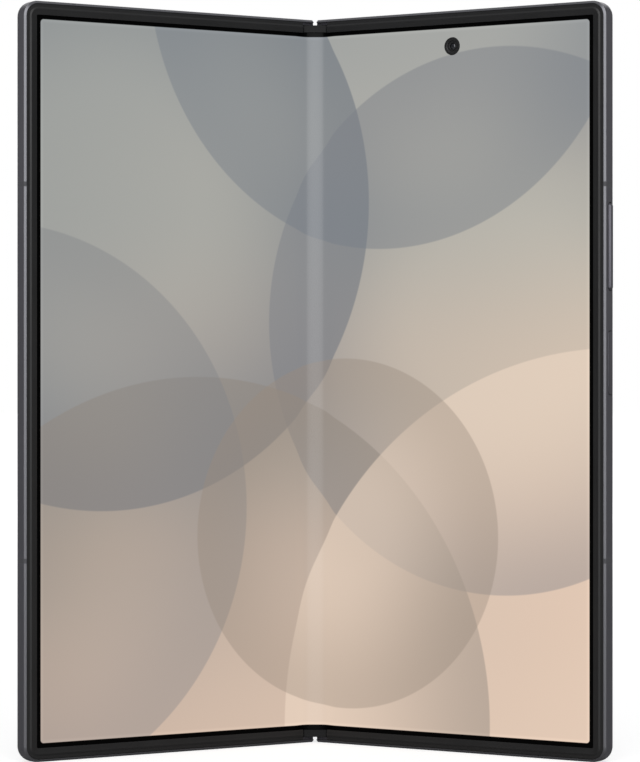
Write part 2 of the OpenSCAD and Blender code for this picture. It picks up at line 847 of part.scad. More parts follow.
// Sliding arc and sloping lever of a half, in x and y
module lever_shape() {
    polygon([
        [pivot_x, pivot_y + arc_r], [2.8, 1.78], [3.6, 1.62], [channel_x + 0.9, 1.55],
        [foot_x1, 1.55], [foot_x1, floor_y], [foot_x0, floor_y], [channel_x + 0.1, 2.02],
        [3, 2.02], [pivot_x, pivot_y + arc_r + arc_t]
    ]);
}

// Lug that holds the wing's pin
module pin_lug(w) {
    difference() {
        block(pin_x - 0.45, foot_x1, wing_top + 0.01, 1.6, 0, w);
        translate([pin_x, pin_y, -1]) cylinder(h = w + 2, r = wing_pin_r + shaft_gap);
    }
}

module hinge_levers(side) {
    for (z = lever_z(side)) translate([0, 0, z - lever_w / 2]) {
        difference() {
            linear_extrude(lever_w) lever_shape();
            peg(foot_x0 + 0.5, lever_w / 2, hinge_screw_d / 2 + shaft_gap, 1, floor_y + 1);
            peg(foot_x0 + 0.5, lever_w / 2, hinge_screw_d / 2 + 0.4, 1, 1.8);
        }
        pin_lug(lever_w);
        translate([pivot_x, pivot_y, -slider_extra]) rotate([0, 0, 90])
            rotate_extrude(angle = 65) translate([arc_r, 0])
                square([arc_t, lever_w + 2 * slider_extra]);
    }
}

module rear_hinge_levers() {
    color("#85878b") on_rear() hinge_levers(1);
}

module front_hinge_levers() {
    color("#85878b") on_front() hinge_levers(-1);
}

module hinge_screws(side) {
    for (z = lever_z(side)) {
        peg(foot_x0 + 0.5, z, hinge_screw_d / 2, 1.75, floor_y + floor_t);
        peg(foot_x0 + 0.5, z, hinge_screw_d / 2 + 0.35, 1.6, 1.8);
    }
}

module rear_hinge_screws() {
    color("#b9bbbf") on_rear() hinge_screws(1);
}

module front_hinge_screws() {
    color("#b9bbbf") on_front() hinge_screws(-1);
}

// Wing that holds the bending display up when flat and drops back as the phone closes
module wing(side) {
    notch = lever_w + 0.6;
    turned(pin_x, pin_y, rest_fold * wing_ratio) {
        difference() {
            union() {
                block(pin_x - wing_reach, pin_x + 0.1, wing_top, wing_top + wing_t,
                    wing_end, phone_h - wing_end);
                translate([pin_x, pin_y, wing_end])
                    cylinder(h = phone_h - 2 * wing_end, r = barrel_r);
            }
            for (z = lever_z(side)) block(0, foot_x1 + 1, 0, 3, z - notch / 2, z + notch / 2);
            block(0, pin_x - 0.6, 0, 3, arm_z - 0.3, arm_z + arm_w + 0.3);
        }
        translate([pin_x, pin_y, wing_end])
            cylinder(h = phone_h - 2 * wing_end, r = wing_pin_r);
    }
}

module rear_wing() {
    color("#6d6f73") on_rear() wing(1);
}

module front_wing() {
    color("#6d6f73") on_front() wing(-1);
}

// Gear outline with narrow teeth, so that meshing teeth keep a little play
function gear_points(teeth, phase) =
    let (root = tooth_module * (teeth / 2 - 1.1), tip = tooth_module * (teeth / 2 + 0.85))
    [for (i = [0:teeth - 1], p = [[root, -0.21], [tip, -0.09], [tip, 0.09], [root, 0.21]])
        let (a = phase + (i + p[1]) * 360 / teeth) p[0] * [cos(a), sin(a)]];

module gear(teeth, phase) {
    linear_extrude(gear_w) polygon(gear_points(teeth, phase));
}

// The front gears are mirrored and shifted by half a tooth, so that the middle pair mesh
module middle_gear(shift) {
    translate([mid_x, mid_y, gear_z]) gear(mid_teeth, mesh_angle + shift * 180 / mid_teeth);
    translate([mid_x, mid_y, cheek_z[0]])
        cylinder(h = cheek_z[1] + cheek_t - cheek_z[0], r = shaft_r);
}

module rear_middle_gear() {
    color("#a08a5a") on_spine() middle_gear(0);
}

module front_middle_gear() {
    color("#a08a5a") on_spine() mirror([1, 0, 0]) middle_gear(1);
}

module timing_arm(shift) {
    translate([arm_x, arm_y, gear_z])
        gear(arm_teeth, mesh_angle + 180 + (1 - shift) * 180 / arm_teeth);
    hub_z = gear_z + gear_w / 2;
    translate([arm_x, arm_y, hub_z]) cylinder(h = cheek_z[1] - 0.1 - hub_z, r = hub_r);
    translate([arm_x, arm_y, cheek_z[0]])
        cylinder(h = cheek_z[2] + cheek_t - cheek_z[0], r = shaft_r);
    turned(arm_x, arm_y, rest_fold) translate([0, 0, arm_z]) linear_extrude(arm_w)
        polygon([[arm_x - 0.1, arm_y - 0.17], [foot_x1 - 0.2, 1.4], [foot_x1 - 0.2, 1.78],
                 [arm_x - 0.1, arm_y + 0.25]]);
}

module rear_timing_arm() {
    color("#7d7f83") on_spine() timing_arm(0);
}

module front_timing_arm() {
    color("#7d7f83") on_spine() mirror([1, 0, 0]) timing_arm(1);
}

// ---- spine ----

// Section of the spine about both hinge axes, from an edge angle up to its flat back
function spine_section(r, edge) = concat(
    arc([pivot_x, pivot_y], r, edge, 90),
    arc([-pivot_x, pivot_y], r, 90, 180 - edge)
);

module cover_notch(z, w, angle) {
    block(pivot_x + 1, channel_x, pivot_y, pivot_y + cover_r * sin(angle), z - w / 2, z + w / 2);
}

module spine_cover() {
    inner = spine_section(cover_in, cover_edge);
    color("#3a3a40") on_spine() difference() {
        translate([0, 0, cover_end]) linear_extrude(cover_len)
            polygon(concat(spine_section(cover_r, cover_edge),
                [for (i = [len(inner) - 1:-1:0]) inner[i]]));
        for (side = [1, -1]) mirror([side < 0 ? 1 : 0, 0, 0]) {
            for (z = lever_z(side)) cover_notch(z, lever_w + 0.6, 34);
            cover_notch(arm_z + arm_w / 2, arm_w + 0.6, 26);
        }
    }
}

module end_cap() {
    linear_extrude(cap_h) polygon(concat(
        [[-cap_half_w, pivot_y + 0.1], [-cap_half_w, -0.1], [-cap_half_w + 0.1, -0.2],
         [cap_half_w - 0.1, -0.2], [cap_half_w, -0.1], [cap_half_w, pivot_y + 0.1]],
        spine_section(cover_in - 0.03, 3)
    ));
}

module bottom_end_cap() {
    color("#2b2b2e") on_spine() translate([0, 0, cover_end]) end_cap();
}

module top_end_cap() {
    color("#2b2b2e") on_spine() translate([0, 0, phone_h - cover_end - cap_h]) end_cap();
}

module centre_plate() {
    color("#96989c") on_spine() block(-pivot_x, pivot_x, 0.6, 0.75,
        cover_end + cap_h + 1, phone_h - cover_end - cap_h - 1);
}

module spine_block(h) {
    linear_extrude(h) polygon(spine_section(cover_in - 0.03, 1.5));
    block(-0.25, 0.25, 0.75, pivot_y + 0.2, 0, h);
}

// Clears the sliding arc and the swinging lever of one half
module lever_grooves(side) {
    r0 = arc_r - shaft_gap;
    slider_w = lever_w + 2 * slider_extra + 0.2;
    translate([0, 0, bracket_h / 2 - side * lever_side]) mirror([side < 0 ? 1 : 0, 0, 0])
        translate([pivot_x, pivot_y, 0]) {
            rotate([0, 0, -10]) translate([0, 0, -slider_w / 2]) rotate_extrude(angle = 170)
                translate([r0, 0]) square([arc_t + 2 * shaft_gap, slider_w]);
            rotate([0, 0, -90]) translate([0, 0, -lever_w / 2 - 0.15])
                rotate_extrude(angle = 187) translate([r0, 0]) square([3, lever_w + 0.3]);
        }
}

module hinge_bracket(z) {
    color("#6f7175") on_spine() translate([0, 0, z - bracket_h / 2]) difference() {
        spine_block(bracket_h);
        lever_grooves(1);
        lever_grooves(-1);
    }
}

module bottom_hinge_bracket() {
    hinge_bracket(bracket_z[0]);
}

module top_hinge_bracket() {
    hinge_bracket(bracket_z[1]);
}

// Three cheeks on one floor carry the timing shafts and the middle gears
module gear_bracket() {
    floor_front = mid_y + tooth_module * (mid_teeth / 2 + 0.85) + 0.06;
    shaft_end = cheek_z[2] + cheek_t;
    color("#6f7175") on_spine() difference() {
        union() {
            for (z = cheek_z) translate([0, 0, z]) spine_block(cheek_t);
            block(-pivot_x, pivot_x, floor_front, pivot_y + cover_in - 0.03, cheek_z[0], shaft_end);
        }
        for (s = [-1, 1]) {
            translate([s * arm_x, arm_y, cheek_z[0] - 1])
                cylinder(h = shaft_end - cheek_z[0] + 2, r = shaft_r + shaft_gap);
            translate([s * mid_x, mid_y, cheek_z[0] - 1])
                cylinder(h = cheek_z[1] + cheek_t - cheek_z[0] + 1.5, r = shaft_r + shaft_gap);
        }
    }
}

module friction_discs() {
    color("#a7a9ad") on_spine() for (s = [-1, 1], i = [0:disc_count - 1])
        translate([s * arm_x, arm_y, cheek_z[1] + cheek_t + 0.1 + i * disc_pitch]) difference() {
            cylinder(h = disc_pitch - 0.1, r = 0.6);
            translate([0, 0, -1]) cylinder(h = 3, r = shaft_r + shaft_gap);
        }
}

// ---- which node to draw ----

rear_frame();
rear_antenna_breaks();
rear_glass();
rear_bezel();
rear_display();
rear_display_backplate();
camera_island();
camera_rings();
camera_lenses();
camera_modules();
flash_window();
selfie_camera();
selfie_lens();
rear_battery();
charging_coil();
main_board();
shield_cans();
board_screws();
usb_socket();
usb_tongue();
loudspeaker();
vibration_motor();
key_switches();
rear_magnets();
rear_hinge_levers();
rear_hinge_screws();
volume_key();
volume_key_pin();
side_key();
rear_wing();
front_frame();
front_antenna_breaks();
cover_glass();
cover_display();
cover_camera();
front_bezel();
front_display();
front_display_backplate();
front_battery();
front_board();
earpiece_speaker();
card_reader();
card_tray();
front_magnets();
front_hinge_levers();
front_hinge_screws();
front_wing();
spine_cover();
top_end_cap();
bottom_end_cap();
centre_plate();
top_hinge_bracket();
bottom_hinge_bracket();
gear_bracket();
friction_discs();
rear_timing_arm();
front_timing_arm();
rear_middle_gear();
front_middle_gear();
display_fold();
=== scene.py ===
# %% [markdown]
# # A folding phone, half opened and standing on its edge
# The real thing is two thin aluminium halves on a geared hinge, with one bending screen inside.
# The solids come from CAD as a fixed frame. This lesson gives every solid its finish, and makes
# anew the pieces whose looks hang on fine curves: the bending screen, the keys and the cameras.

# %% Load the frame
import json
import math
import bmesh
import bpy
from mathutils import Matrix, Vector


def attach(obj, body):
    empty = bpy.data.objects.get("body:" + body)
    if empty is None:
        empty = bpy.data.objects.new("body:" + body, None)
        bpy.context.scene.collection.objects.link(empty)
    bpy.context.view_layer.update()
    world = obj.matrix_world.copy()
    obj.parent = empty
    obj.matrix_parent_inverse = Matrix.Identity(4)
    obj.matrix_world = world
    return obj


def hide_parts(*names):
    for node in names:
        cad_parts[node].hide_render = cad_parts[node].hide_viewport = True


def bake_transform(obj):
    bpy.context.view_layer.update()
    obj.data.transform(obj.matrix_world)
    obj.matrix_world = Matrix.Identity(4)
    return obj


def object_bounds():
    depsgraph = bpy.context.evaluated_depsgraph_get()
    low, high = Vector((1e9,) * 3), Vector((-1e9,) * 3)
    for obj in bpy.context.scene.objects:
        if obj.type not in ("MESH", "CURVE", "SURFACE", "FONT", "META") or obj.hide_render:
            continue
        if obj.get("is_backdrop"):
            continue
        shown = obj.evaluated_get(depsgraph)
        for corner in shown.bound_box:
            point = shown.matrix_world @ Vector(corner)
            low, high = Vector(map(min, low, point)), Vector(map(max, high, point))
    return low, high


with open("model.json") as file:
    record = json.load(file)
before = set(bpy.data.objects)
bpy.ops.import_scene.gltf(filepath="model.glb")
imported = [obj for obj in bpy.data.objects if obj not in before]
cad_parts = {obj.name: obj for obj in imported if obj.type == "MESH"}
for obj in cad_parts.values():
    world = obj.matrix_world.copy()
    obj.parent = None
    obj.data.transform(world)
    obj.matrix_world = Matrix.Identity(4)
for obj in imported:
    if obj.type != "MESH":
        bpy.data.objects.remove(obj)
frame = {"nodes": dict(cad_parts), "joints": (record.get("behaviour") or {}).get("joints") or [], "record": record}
cad_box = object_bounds()
scene = bpy.context.scene
MM = 0.001
print("CAD box:", [[round(c, 4) for c in corner] for corner in cad_box])

# %% [markdown]
# ## Where the halves stand
# Each half is easiest to think of lying flat: u runs from the fold to its outer edge, v from the
# screen to the back, and z up. The hinge then turns it. The frame knows the hinge's place, and
# the joint's lowest angle is the turn back to flat, so both are read and not typed.
# The other half is the mirror image, which is a scale of -1 along x.

# %% From a flat half to the standing phone
PHONE_H, HALF_W = 158.4 * MM, 71.6 * MM
SCREEN_DEEP = 0.1 * MM          # the screen lies this far under the edge of its half
hinge = [j for j in frame["joints"] if j["name"] == "rear_fold"][0]
FOLD = math.radians(-hinge["range_deg"][0])
AXIS = Vector(hinge["pos_m"])
FLAT_AXIS = Vector((1.25 * MM, 1.0 * MM, 0))        # the same axis on a half that lies flat
FOLD_Y = AXIS.y - FLAT_AXIS.y + SCREEN_DEEP         # where the screen's fold is
REAR = Matrix.Translation(AXIS) @ Matrix.Rotation(-FOLD, 4, "Z") @ Matrix.Translation(-FLAT_AXIS)
FRONT = Matrix.Scale(-1, 4, (1, 0, 0)) @ REAR
SIDES = {"rear": REAR, "front": FRONT}
print("each half is turned by", round(math.degrees(FOLD), 1), "degrees")

# %% [markdown]
# ## The camera
# A shop picture of a phone is taken with a long lens from straight ahead, so that its upright
# edges stay parallel. The lens is shifted a little and not turned, because a turned camera
# would make those edges lean.

# %% Camera
LENS_TO_FOLD, LENS_HEIGHT = 0.6891, 0.08035         # m
FOCAL_LENGTH = 148.45                               # mm, for a picture 36 mm on its longer side
SHIFT_X, SHIFT_Y = 0.0065, -0.0067                  # shares of the picture's longer side
camera_data = bpy.data.cameras.new("camera")
camera_data.lens = FOCAL_LENGTH
camera_data.shift_x, camera_data.shift_y = SHIFT_X, SHIFT_Y
camera_data.clip_start = 0.01
camera = bpy.data.objects.new("camera", camera_data)
camera.location = (0, FOLD_Y - LENS_TO_FOLD, LENS_HEIGHT)
camera.rotation_euler = (math.radians(90), 0, 0)
scene.collection.objects.link(camera)
scene.camera = camera
print("camera at", [round(c, 4) for c in camera.location])

# %% [markdown]
# ## Helpers for node materials
# A material is a small graph of nodes. One function adds a node, sets its settings and fills its
# inputs: a value is typed in, and another node's socket is linked.
# A Mix node carries a set of sockets for each kind of data, so these are picked by number.
# Colours are written as hex codes, as on a paint chart. Blender calculates in linear light, so
# another function turns each code to linear once.

# %% Colour and node helpers
NUMBER_A, NUMBER_B, COLOUR_A, COLOUR_B = 2, 3, 6, 7     # inputs of a Mix node
NUMBER_OUT, COLOUR_OUT = 0, 2                           # and its outputs
WHITE = (1, 1, 1, 1)


def linear(hex_code):
    """An sRGB hex colour as linear red, green, blue and alpha."""
    parts = [int(hex_code[i:i + 2], 16) / 255 for i in (1, 3, 5)]
    return [c / 12.92 if c <= 0.04045 else ((c + 0.055) / 1.055) ** 2.4 for c in parts] + [1.0]


def add(tree, kind, inputs=None, **settings):
    """Adds one node: inputs are sockets to link or values to type in."""
    made = tree.nodes.new("ShaderNode" + kind)
    for name, value in settings.items():
        setattr(made, name, value)
    for key, value in (inputs or {}).items():
        if isinstance(value, bpy.types.NodeSocket):
            tree.links.new(value, made.inputs[key])
        else:
            made.inputs[key].default_value = value
    return made


def empty_tree(owner):
    """Switches a material or world to nodes and clears them."""
    owner.use_nodes = True
    owner.node_tree.nodes.clear()
    return owner.node_tree


print("mid grey in linear light:", round(linear("#808080")[0], 3))

# %% [markdown]
# ## The room
# Small shiny things are lit by large soft lamps, which give broad, gentle reflections. Each half
# is turned by about a third of a right angle, so it mirrors what stands far out to its side.
# Those sides are left dim, and the black border of the screen stays black.
# The world is plain white where the camera looks at it, and a dim grey as a light, which is
# also what the metal and the screen mirror.

# %% World
ROOM_LIGHT = 0.25
world = bpy.data.worlds.new("studio")
scene.world = world
tree = empty_tree(world)
path = add(tree, "LightPath")
seen = add(tree, "Math", {0: path.outputs["Is Camera Ray"],
                          1: path.outputs["Is Transmission Ray"]}, operation="MAXIMUM")
room = add(tree, "Background", {"Color": linear("#f4f5f7"), "Strength": ROOM_LIGHT})
white = add(tree, "Background", {"Color": WHITE, "Strength": 1.0})
both = add(tree, "MixShader", {0: seen.outputs[0], 1: room.outputs[0], 2: white.outputs[0]})
add(tree, "OutputWorld", {"Surface": both.outputs[0]})
scene.view_settings.view_transform = "Standard"
print("strength of the world as a light:", ROOM_LIGHT)

# %% [markdown]
# ## The floor
# White paper under the phone takes its soft shadow. Paper lit by lamps alone fades with
# distance, so for the camera alone it also gives off some light, which carries it to white.
# Near the phone it gives off less, so that the shadow still shows.

# %% Floor
FLOOR_HALF = 6.0                    # m; its edge is never seen
NEAR, FAR = 0.5, 1.5                # m from the phone
OWN_NEAR, OWN_FAR = 0.68, 1.0       # how much light the paper gives off there
mesh = bmesh.new()
bmesh.ops.create_grid(mesh, x_segments=1, y_segments=1, size=FLOOR_HALF)
floor_data = bpy.data.meshes.new("floor")
mesh.to_mesh(floor_data)
mesh.free()
floor = bpy.data.objects.new("floor", floor_data)
scene.collection.objects.link(floor)
floor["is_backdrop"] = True
paper = bpy.data.materials.new("white_paper")
tree = empty_tree(paper)
path = add(tree, "LightPath")
away = add(tree, "VectorMath", {0: add(tree, "TexCoord").outputs["Object"]}, operation="LENGTH")
fade = add(tree, "MapRange", {"Value": away.outputs["Value"], "From Min": NEAR,
                              "From Max": FAR, "To Min": OWN_NEAR, "To Max": OWN_FAR})
lift = add(tree, "Math", {0: path.outputs["Is Camera Ray"], 1: fade.outputs[0]},
           operation="MULTIPLY")
matt = add(tree, "BsdfDiffuse", {"Color": linear("#b8b8b8")})
glow = add(tree, "Emission", {"Color": WHITE, "Strength": lift.outputs[0]})
both = add(tree, "AddShader", {0: matt.outputs[0], 1: glow.outputs[0]})
add(tree, "OutputMaterial", {"Surface": both.outputs[0]})
floor_data.materials.append(paper)
print("the floor is", 2 * FLOOR_HALF, "m wide")

# %% [markdown]
# ## The lamps
# One wide lamp in front, from the floor to well overhead, does most of the work: it draws the
# bright line along the chamfered rims and a soft band down the bend of the screen. Two smaller
# ones stand beside the phone and a little behind it, and give the outer walls their tone.
# One overhead lights the top edge, and one at the back is for whoever walks round the phone.

# %% Lamps
def softbox(name, place, size, watts):
    """A rectangular lamp that faces the middle of the phone; places and sizes are metres."""
    data = bpy.data.lights.new(name, "AREA")
    data.shape = "RECTANGLE"
    data.size, data.size_y = size
    data.energy = watts
    lamp = bpy.data.objects.new(name, data)
    lamp.location = place
    toward = Vector((0, 0, PHONE_H / 2)) - Vector(place)
    lamp.rotation_euler = toward.to_track_quat("-Z", "Y").to_euler()
    scene.collection.objects.link(lamp)


softbox("lamp_front", (0, -1.25, 0.62), (1.6, 1.25), 16.0)
softbox("lamp_left", (-1.1, 0.45, 0.3), (0.6, 0.9), 0.8)
softbox("lamp_right", (1.1, 0.45, 0.3), (0.6, 0.9), 0.75)
softbox("lamp_above", (0, -0.1, 1.25), (2.8, 1.0), 4.6)
softbox("lamp_behind", (0, 1.2, 0.6), (1.5, 0.9), 6.0)

# %% [markdown]
# ## A base for every finish
# Almost every surface here needs the same three things: fine relief from how it was made, slow
# patches where hands and polishing left it a little smoother, and a colour that drifts slightly.
# One function builds that base from real sizes in millimetres, and each finish adds its own
# touch. Object coordinates are metres on the phone, so a pattern keeps its true size.
# A noise hardly ever leaves the middle of its range, so that part of it is spread out.

# %% Base finish
PATCH = 14 * MM                     # size of the slow patches
NOISE_LOW, NOISE_HIGH = 0.3, 0.7    # the part of a noise's range that it uses
ROUGH_DRIFT = 0.12                  # how far the patches change the roughness
RELIEF_STRENGTH = 0.35


def finish(name, colour, rough, metal=0.0, grain=0.3, depth=0.02, drift=0.06, **constants):
    """A finish with relief of that grain and depth in millimetres; returns its material, tree,
    shader and coordinates, so that a cell can add to it."""
    made = bpy.data.materials.new(name)
    tree = empty_tree(made)
    place = add(tree, "TexCoord").outputs["Object"]
    patches = add(tree, "TexNoise", {"Vector": place, "Scale": 1 / PATCH, "Detail": 3.0})
    spread = {"Value": patches.outputs[0], "From Min": NOISE_LOW, "From Max": NOISE_HIGH}
    tone = add(tree, "MapRange", {**spread, "To Min": 1 - drift, "To Max": 1 + drift})
    base = add(tree, "VectorMath", {0: linear(colour)[:3], "Scale": tone.outputs[0]},
               operation="SCALE")
    worn = add(tree, "MapRange", {**spread, "To Min": rough * (1 - ROUGH_DRIFT),
                                  "To Max": min(1.0, rough * (1 + ROUGH_DRIFT))})
    relief = add(tree, "TexNoise", {"Vector": place, "Scale": 1 / (grain * MM), "Detail": 2.0})
    bump = add(tree, "Bump", {"Height": relief.outputs[0], "Distance": depth * MM,
                              "Strength": RELIEF_STRENGTH})
    shader = add(tree, "BsdfPrincipled", {"Base Color": base.outputs[0],
                                          "Roughness": worn.outputs[0], "Metallic": metal,
                                          "Normal": bump.outputs[0], **constants})
    add(tree, "OutputMaterial", {"Surface": shader.outputs[0]})
    return made, tree, shader, place


def flat_place(tree, place, side):
    """Turns phone coordinates back to the u, v and z of a flat half."""
    scale = (1, 1, 1) if side == "rear" else (-1, 1, 1)
    mapped = add(tree, "Mapping", {"Vector": place, "Location": REAR.inverted().translation,
                                   "Rotation": (0, 0, FOLD), "Scale": scale})
    return add(tree, "SeparateXYZ", {0: mapped.outputs[0]}).outputs


# %% [markdown]
# ## Anodised aluminium
# The rails are milled from aluminium, blasted with fine beads and anodised dark grey. That
# gives an even satin with a faint cool tint. The flat chamfer on the screen side is cut and
# polished after blasting, so it is lighter and sharper in its reflections. The finish asks how
# deep a point lies behind the screen side: less than the chamfer's depth gets the polish.

# %% Finish of the rails
CHAMFER, CHAMFER_SOFT = 0.3 * MM, 0.03 * MM     # its depth, and half of the step to the wall
CHAMFER_COLOUR, CHAMFER_ROUGH = "#6c6c70", 0.34


def rail_finish(side):
    """Blasted wall and polished chamfer, told apart by the depth on the flat half."""
    made, tree, shader, place = finish("anodised_aluminium_blasted_" + side, "#5d5c62", 0.42,
                                       metal=1.0, grain=0.12, depth=0.012, drift=0.05)
    depth = flat_place(tree, place, side)[1]
    cut = add(tree, "MapRange", {"Value": depth, "From Min": CHAMFER + CHAMFER_SOFT,
                                 "From Max": CHAMFER - CHAMFER_SOFT}).outputs[0]
    blasted = shader.inputs["Base Color"].links[0].from_socket
    base = add(tree, "Mix", {0: cut, COLOUR_A: blasted, COLOUR_B: linear(CHAMFER_COLOUR)},
               data_type="RGBA")
    tree.links.new(base.outputs[COLOUR_OUT], shader.inputs["Base Color"])
    satin = shader.inputs["Roughness"].links[0].from_socket
    polish = add(tree, "Mix", {0: cut, NUMBER_A: satin, NUMBER_B: CHAMFER_ROUGH})
    tree.links.new(polish.outputs[NUMBER_OUT], shader.inputs["Roughness"])
    return made


rail = {side: rail_finish(side) for side in SIDES}
print("rail finishes:", sorted(rail))

# %% [markdown]
# ## The other finishes
# The rest of the phone is glass, moulded plastic and small metal parts. Each row below names a
# material, how its surface was made, and what that gives the eye. Grain and depth are the real
# relief in millimetres; where it is too fine for a picture it is drawn a little coarser.
# Glass over a dark layer gets a clear coat, which mirrors over it. The soft mouldings have a
# lower specular level, because their fine relief breaks up what they mirror.

# %% Table of finishes
# slot: name, colour, roughness, metallic, grain and depth in mm, drift of the tone, other sockets
FINISHES = {
    # moulded soft polyurethane: near black and matt, hardly any shine
    "bezel_rubber": ("moulded_polyurethane_soft", "#121213", 0.45, 0, 0.10, 0.010, 0.08,
                     {"Specular IOR Level": 0.45}),
    # moulded hinge cap: as dark and matt, with still less shine
    "cap_plastic": ("moulded_plastic_cap", "#101011", 0.5, 0, 0.12, 0.010, 0.08,
                    {"Specular IOR Level": 0.2}),
    # injection moulded into the rail and machined flush: satin line
    "antenna_plastic": ("moulded_plastic_machined", "#46464a", 0.45, 0, 0.15, 0.010, 0.05,
                        {"Specular IOR Level": 0.3}),
    # acid-etched glass over a dark film: silky, soft highlights
    "back_glass": ("etched_glass_dark", "#3a3c41", 0.34, 0, 0.20, 0.004, 0.03,
                   {"Coat Weight": 0.25, "Coat Roughness": 0.3}),
    # polished strengthened glass over black: deep and mirror-like
    "cover_glass": ("polished_glass_black", "#050506", 0.05, 0, 2.5, 0.001, 0.02,
                    {"Coat Weight": 1.0, "Coat Roughness": 0.02}),
    # blasted and anodised extrusion along the spine
    "hinge_cover_aluminium": ("anodised_aluminium_spine", "#57575d", 0.36, 1, 0.12, 0.012,
                              0.05, {}),
    # precision cast and machined steel: grey with fine tool marks
    "hinge_steel": ("cast_steel_machined", "#8b8c8e", 0.33, 1, 0.08, 0.010, 0.08, {}),
    # sintered bronze-coloured gear metal
    "gear_brass": ("sintered_bronze", "#a68d5c", 0.38, 1, 0.06, 0.015, 0.10, {}),
    # turned and zinc plated
    "screw_steel": ("turned_steel_zinc", "#a9aaac", 0.28, 1, 0.05, 0.008, 0.05, {}),
    # turned aluminium, anodised: slightly brighter than the rails
    "camera_ring_aluminium": ("turned_aluminium_anodised", "#6a6a70", 0.25, 1, 0.10, 0.006,
                              0.04, {}),
    # coated lens glass: near black with a faint cool sheen
    "lens_glass": ("coated_lens_glass", "#050609", 0.03, 0, 3.0, 0.001, 0.02,
                   {"Coat Weight": 1.0, "Coat Roughness": 0.01, "Coat Tint": linear("#e7edff")}),
    # black moulded lens barrel
    "camera_housing": ("moulded_plastic_barrel", "#0d0d0f", 0.45, 0, 0.10, 0.010, 0.05, {}),
    # moulded diffusing window over the flash
    "flash_glass": ("moulded_diffuser", "#e9e0c6", 0.3, 0, 0.25, 0.030, 0.04,
                    {"Coat Weight": 0.6, "Coat Roughness": 0.1}),
    # laminated foil pouch, faintly wrinkled
    "battery_wrap": ("laminated_foil_pouch", "#242426", 0.38, 0, 1.6, 0.050, 0.06, {}),
    # wound enamelled copper wire
    "coil_copper": ("enamelled_copper_wound", "#b3713f", 0.35, 1, 0.25, 0.040, 0.08, {}),
    # solder mask over copper tracks
    "circuit_board": ("solder_mask_green", "#17402e", 0.4, 0, 0.8, 0.020, 0.15, {}),
    # pressed sheet steel, tin plated
    "shield_steel": ("pressed_steel_tinned", "#a3a5a7", 0.32, 1, 0.15, 0.008, 0.06, {}),
    # small moulded housings
    "moulded_plastic": ("moulded_plastic_black", "#161618", 0.5, 0, 0.15, 0.015, 0.06, {}),
    # nickel-plated magnets
    "magnet_nickel": ("plated_nickel", "#b9babb", 0.2, 1, 0.10, 0.005, 0.04, {}),
}
made_of = {slot: finish(name, colour, rough, metal, grain, depth, drift, **more)[0]
           for slot, (name, colour, rough, metal, grain, depth, drift, more)
           in FINISHES.items()}
print(len(made_of), "finishes:", ", ".join(sorted(made_of)))

# %% [markdown]
# ## Dressing the solids
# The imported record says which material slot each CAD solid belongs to, so the finishes are
# handed out from it. The rails, and the keys and tray that are made with them, take the rail
# finish of their own side.

# %% Give each solid its finish
slots = {part["node"]: part["material_slot"] for part in frame["record"]["subparts"]}
for node, solid in frame["nodes"].items():
    side = "front" if node.startswith("front") or node == "card_tray" else "rear"
    solid.data.materials.clear()
    solid.data.materials.append(made_of.get(slots[node]) or rail[side])
print("dressed", len(frame["nodes"]), "solids")

# %% [markdown]
# ## The picture on the screen
# A phone's screen shows a picture that is part of its look. This one is a plain study in light:
# a field of colour that goes from cool grey at the top to warm peach low down, with large
# see-through discs that overlap. Each disc is strongest at its rim and melts away inwards.
# The picture is drawn in millimetres on the unrolled screen, through a UV map, so it bends with
# the screen. It is light that the screen gives off, so its colours go to Emission.

# %% Colours of the picture
SHEET = 160 * MM        # side of the square that the UV map covers
DISC_EDGE = 0.3         # mm in which a disc's rim ends
HEIGHTS = (0.0, 0.25, 0.5, 0.75, 1.0)
LEFT = ("#c8b2a2", "#b0a398", "#a2a19d", "#9fa19e", "#9da09e")
RIGHT = ("#e4cbb7", "#e2c8b4", "#d2c1b0", "#bcb8ae", "#a8a9a6")
# middle x and z, radius, reach of the shade (all mm), colour and strength of each disc
DISCS = (
    (-52, 118, 66, 46, "#69717c", 0.62),
    (46, 92, 58, 40, "#7c7f86", 0.50),
    (-30, 6, 74, 52, "#8f877f", 0.55),
    (74, 4, 82, 60, "#f2dcc8", 0.50),
    (18, 168, 60, 34, "#767d86", 0.50),
    (-78, 52, 60, 38, "#808286", 0.42),
    (8, 46, 38, 30, "#97897c", 0.42),
)


def ramp(tree, height, colours):
    """A colour ramp over those heights."""
    made = add(tree, "ValToRGB", {"Fac": height})
    made.color_ramp.interpolation = "EASE"
    stops = made.color_ramp.elements
    while len(stops) < len(colours):
        stops.new(0.5)      # each gets its own place below
    for stop, at, colour in zip(stops, HEIGHTS, colours):
        stop.position, stop.color = at, linear(colour)
    return made.outputs[0]


def shade(tree, under, point, disc):
    """Lays one disc's shade over the colour underneath."""
    x, z, radius, reach, colour, strength = disc
    away = add(tree, "VectorMath", {0: point, 1: (x, z, 0)}, operation="DISTANCE")
    inwards = add(tree, "MapRange", {"Value": away.outputs["Value"],
                                     "From Min": radius - reach, "From Max": radius},
                  interpolation_type="SMOOTHSTEP")
    edge = add(tree, "MapRange", {"Value": away.outputs["Value"], "From Min": radius,
                                  "From Max": radius + DISC_EDGE,
                                  "To Min": strength, "To Max": 0.0})
    much = add(tree, "Math", {0: inwards.outputs[0], 1: edge.outputs[0]}, operation="MULTIPLY")
    mixed = add(tree, "Mix", {0: much.outputs[0], COLOUR_A: under, COLOUR_B: linear(colour)},
                data_type="RGBA")
    return mixed.outputs[COLOUR_OUT]


print("the picture has", len(DISCS), "discs")

